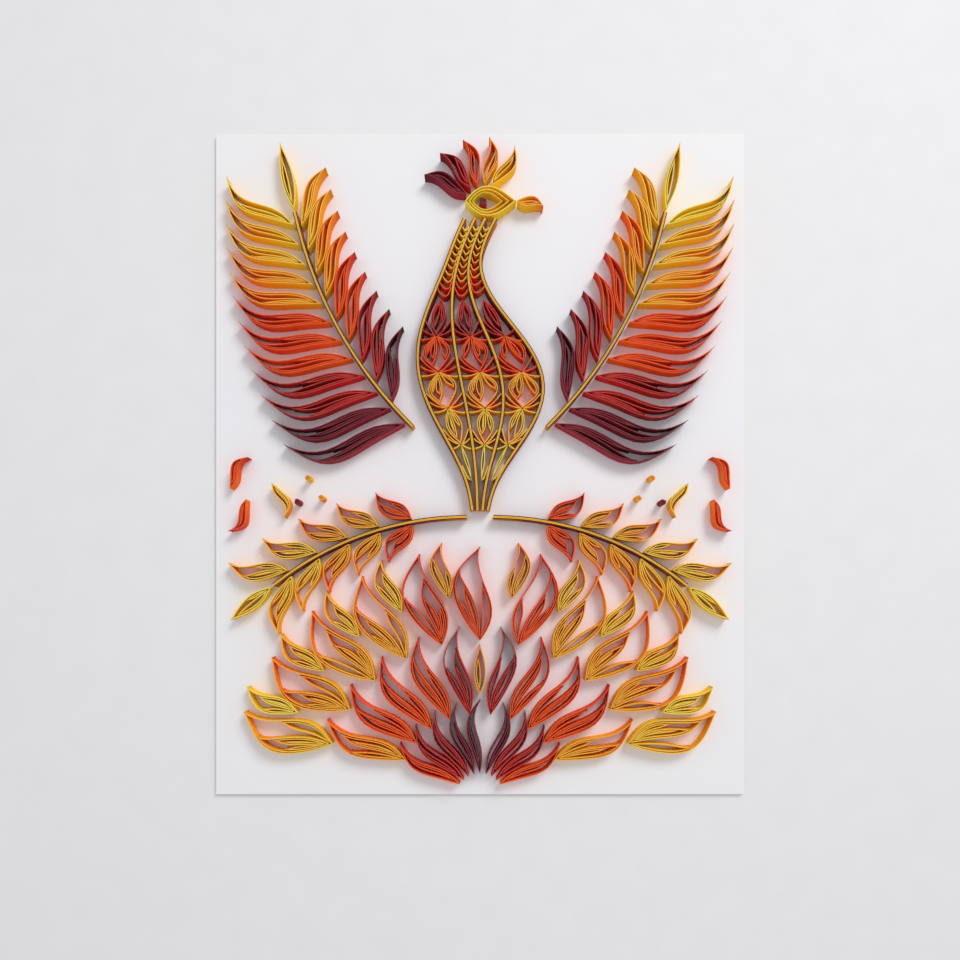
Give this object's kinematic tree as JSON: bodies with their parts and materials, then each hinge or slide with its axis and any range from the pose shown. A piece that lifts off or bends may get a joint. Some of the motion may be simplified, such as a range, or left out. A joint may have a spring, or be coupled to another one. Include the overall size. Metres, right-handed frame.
{
  "type": "quilled paper art",
  "caption": "Quilled paper relief: coloured paper strips stand on edge on a white board and form a firebird with raised wings, tail plumes and a fan of flames.",
  "frame": {"origin": "centre of the board's flat back, on the surface it lies on", "axes": "+Z off the board along the height of the strips, +Y to the top of the picture"},
  "size_m": [0.4, 0.5, 0.013],
  "materials": {
    "mount_board": "white mount board with a fine tooth",
    "paper_laminate": "maroon and gold strips glued face to face, gold cut edges",
    "paper_plum": "matte dark plum quilling paper with paler cut edges",
    "paper_maroon": "matte maroon quilling paper with rose cut edges",
    "paper_red": "matte vermilion red quilling paper with orange cut edges",
    "paper_orange": "matte orange quilling paper with gold cut edges",
    "paper_amber": "matte amber quilling paper with gold cut edges",
    "paper_yellow": "matte yellow quilling paper with gold cut edges"
  },
  "bodies": {
    "root": {"backing_board": "mount_board", "beak_loop": "paper_orange", "body_strip_1": "paper_laminate", "body_strip_2": "paper_laminate", "body_strip_3": "paper_laminate", "body_strip_4": "paper_laminate", "breast_scales_1": "paper_maroon", "breast_scales_2": "paper_red", "breast_scales_3": "paper_orange", "breast_scales_4": "paper_amber", "breast_scales_5": "paper_yellow", "crest_plume_1": "paper_amber", "crest_plume_2": "paper_orange", "crest_plume_3": "paper_red", "crest_plume_4": "paper_maroon", "crest_plume_5": "paper_plum", "embers_amber": "paper_amber", "embers_red": "paper_red", "eye_coil": "paper_plum", "fire_amber": "paper_amber", "fire_maroon": "paper_maroon", "fire_orange": "paper_orange", "fire_plum": "paper_plum", "fire_red": "paper_red", "fire_yellow": "paper_yellow", "head_loop": "paper_yellow", "left_plume_amber": "paper_amber", "left_plume_midrib": "paper_laminate", "left_plume_orange": "paper_orange", "left_plume_red": "paper_red", "left_plume_yellow": "paper_yellow", "left_wing_amber": "paper_amber", "left_wing_arm": "paper_laminate", "left_wing_maroon": "paper_maroon", "left_wing_orange": "paper_orange", "left_wing_plum": "paper_plum", "left_wing_red": "paper_red", "left_wing_yellow": "paper_yellow", "right_plume_amber": "paper_amber", "right_plume_midrib": "paper_laminate", "right_plume_orange": "paper_orange", "right_plume_red": "paper_red", "right_plume_yellow": "paper_yellow", "right_wing_amber": "paper_amber", "right_wing_arm": "paper_laminate", "right_wing_maroon": "paper_maroon", "right_wing_orange": "paper_orange", "right_wing_plum": "paper_plum", "right_wing_red": "paper_red", "right_wing_yellow": "paper_yellow", "sparks_orange": "paper_orange", "sparks_plum": "paper_plum"}
  },
  "joints": []
}
